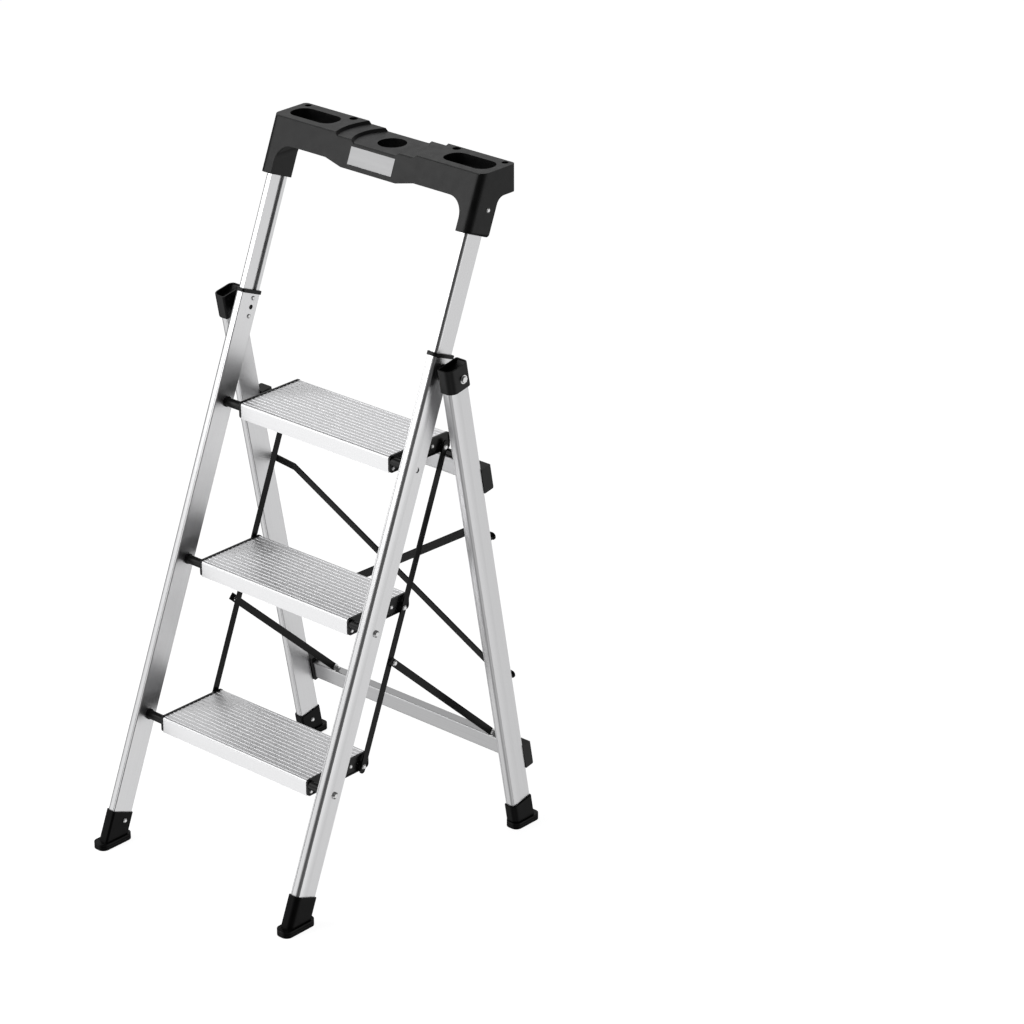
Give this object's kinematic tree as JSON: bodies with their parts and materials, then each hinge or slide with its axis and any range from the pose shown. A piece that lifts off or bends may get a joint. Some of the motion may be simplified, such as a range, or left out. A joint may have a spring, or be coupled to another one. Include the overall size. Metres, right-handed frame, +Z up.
{
  "type": "step stool",
  "caption": "Folding step ladder of silver aluminium tube and ridged treads with black joints, and a pull-out hoop handle that ends in a tool tray.",
  "frame": {"origin": "on the floor, under the middle of the open stool's footprint", "axes": "+X across the stool to its right as seen from the front, +Y towards the rear legs, +Z up"},
  "size_m": [0.5176, 0.551, 1.119],
  "materials": {
    "aluminium_frame": "satin anodised",
    "aluminium_tread": "satin, fine ridges along the tread",
    "black_plastic": "fine moulded grain",
    "black_rubber": "satin",
    "black_steel": "satin powder coat",
    "zinc_steel": "bright zinc",
    "label_silver": "brushed"
  },
  "bodies": {
    "front_frame": {"rail_left": "aluminium_frame", "rail_right": "aluminium_frame", "collar_left": "black_plastic", "collar_right": "black_plastic", "collar_screws": "zinc_steel", "foot_front_left": "black_rubber", "foot_front_right": "black_rubber", "front_foot_screws": "zinc_steel", "pivot_spacers": "black_plastic", "pivot_bolts": "zinc_steel", "pivot_studs": "zinc_steel", "hinge_bolts": "zinc_steel"},
    "rear_frame": {"rear_leg_left": "aluminium_frame", "rear_leg_right": "aluminium_frame", "hinge_cap_left": "black_plastic", "hinge_cap_right": "black_plastic", "upper_crossbar": "aluminium_frame", "lower_crossbar": "aluminium_frame", "upper_end_blocks": "black_plastic", "lower_end_blocks": "black_plastic", "brace_bar_a": "black_steel", "brace_bar_b": "black_steel", "brace_rivet": "zinc_steel", "brace_bolts": "black_steel", "foot_rear_left": "black_rubber", "foot_rear_right": "black_rubber", "rear_foot_screws": "zinc_steel", "strut_clips": "zinc_steel", "strut_pins": "zinc_steel", "rest_pads": "black_rubber"},
    "bottom_step": {"tread_bottom": "aluminium_tread", "bracket_bottom_left": "black_plastic", "bracket_bottom_right": "black_plastic", "bracket_rivets_bottom": "zinc_steel"},
    "middle_step": {"tread_middle": "aluminium_tread", "bracket_middle_left": "black_plastic", "bracket_middle_right": "black_plastic", "bracket_rivets_middle": "zinc_steel"},
    "top_step": {"tread_top": "aluminium_tread", "bracket_top_left": "black_plastic", "bracket_top_right": "black_plastic", "bracket_rivets_top": "zinc_steel"},
    "tie_bars": {"tie_bar_left": "black_steel", "tie_bar_right": "black_steel", "tie_rivets_left": "zinc_steel", "tie_rivets_right": "zinc_steel"},
    "struts": {"strut_left": "black_steel", "strut_right": "black_steel", "strut_rivet_left": "zinc_steel", "strut_rivet_right": "zinc_steel"},
    "handle": {"handle_tray": "black_plastic", "label_plate": "label_silver", "inner_tube_left": "aluminium_frame", "inner_tube_right": "aluminium_frame", "tube_plugs": "black_plastic", "handle_screws": "zinc_steel"}
  },
  "joints": [
    {"name": "rear_fold", "type": "hinge", "parent": "front_frame", "child": "rear_frame", "pos_m": [0, 0.09561, 0.82398], "axis": [-1, 0, 0], "range_deg": [0, 32.5]},
    {"name": "bottom_step_hinge", "type": "hinge", "parent": "front_frame", "child": "bottom_step", "pos_m": [0, -0.15872, 0.2025], "axis": [1, 0, 0], "range_deg": [0, 66.1]},
    {"name": "middle_step_hinge", "type": "hinge", "parent": "front_frame", "child": "middle_step", "pos_m": [0, -0.06175, 0.4425], "axis": [1, 0, 0], "range_deg": [0, 66.1]},
    {"name": "top_step_hinge", "type": "hinge", "parent": "front_frame", "child": "top_step", "pos_m": [0, 0.03521, 0.6825], "axis": [1, 0, 0], "range_deg": [0, 66.1]},
    {"name": "tie_bar_pivot", "type": "hinge", "parent": "top_step", "child": "tie_bars", "pos_m": [0, 0.14621, 0.6725], "axis": [-1, 0, 0], "range_deg": [0, 66.1]},
    {"name": "strut_pivot", "type": "hinge", "parent": "rear_frame", "child": "struts", "pos_m": [0, 0.24076, 0.14505], "axis": [-1, 0, 0], "range_deg": [0, 35.41]},
    {"name": "handle_slide", "type": "slide", "parent": "front_frame", "child": "handle", "axis": [0, 0.3746, 0.9272], "range_m": [-0.184, 0]}
  ],
  "couplings": [
    {"joint": "bottom_step_hinge", "follows": "rear_fold", "ratio": 2.0307},
    {"joint": "middle_step_hinge", "follows": "rear_fold", "ratio": 2.0307},
    {"joint": "top_step_hinge", "follows": "rear_fold", "ratio": 2.0307},
    {"joint": "tie_bar_pivot", "follows": "rear_fold", "ratio": 2.0307},
    {"joint": "strut_pivot", "follows": "rear_fold", "ratio": 1.0864}
  ]
}
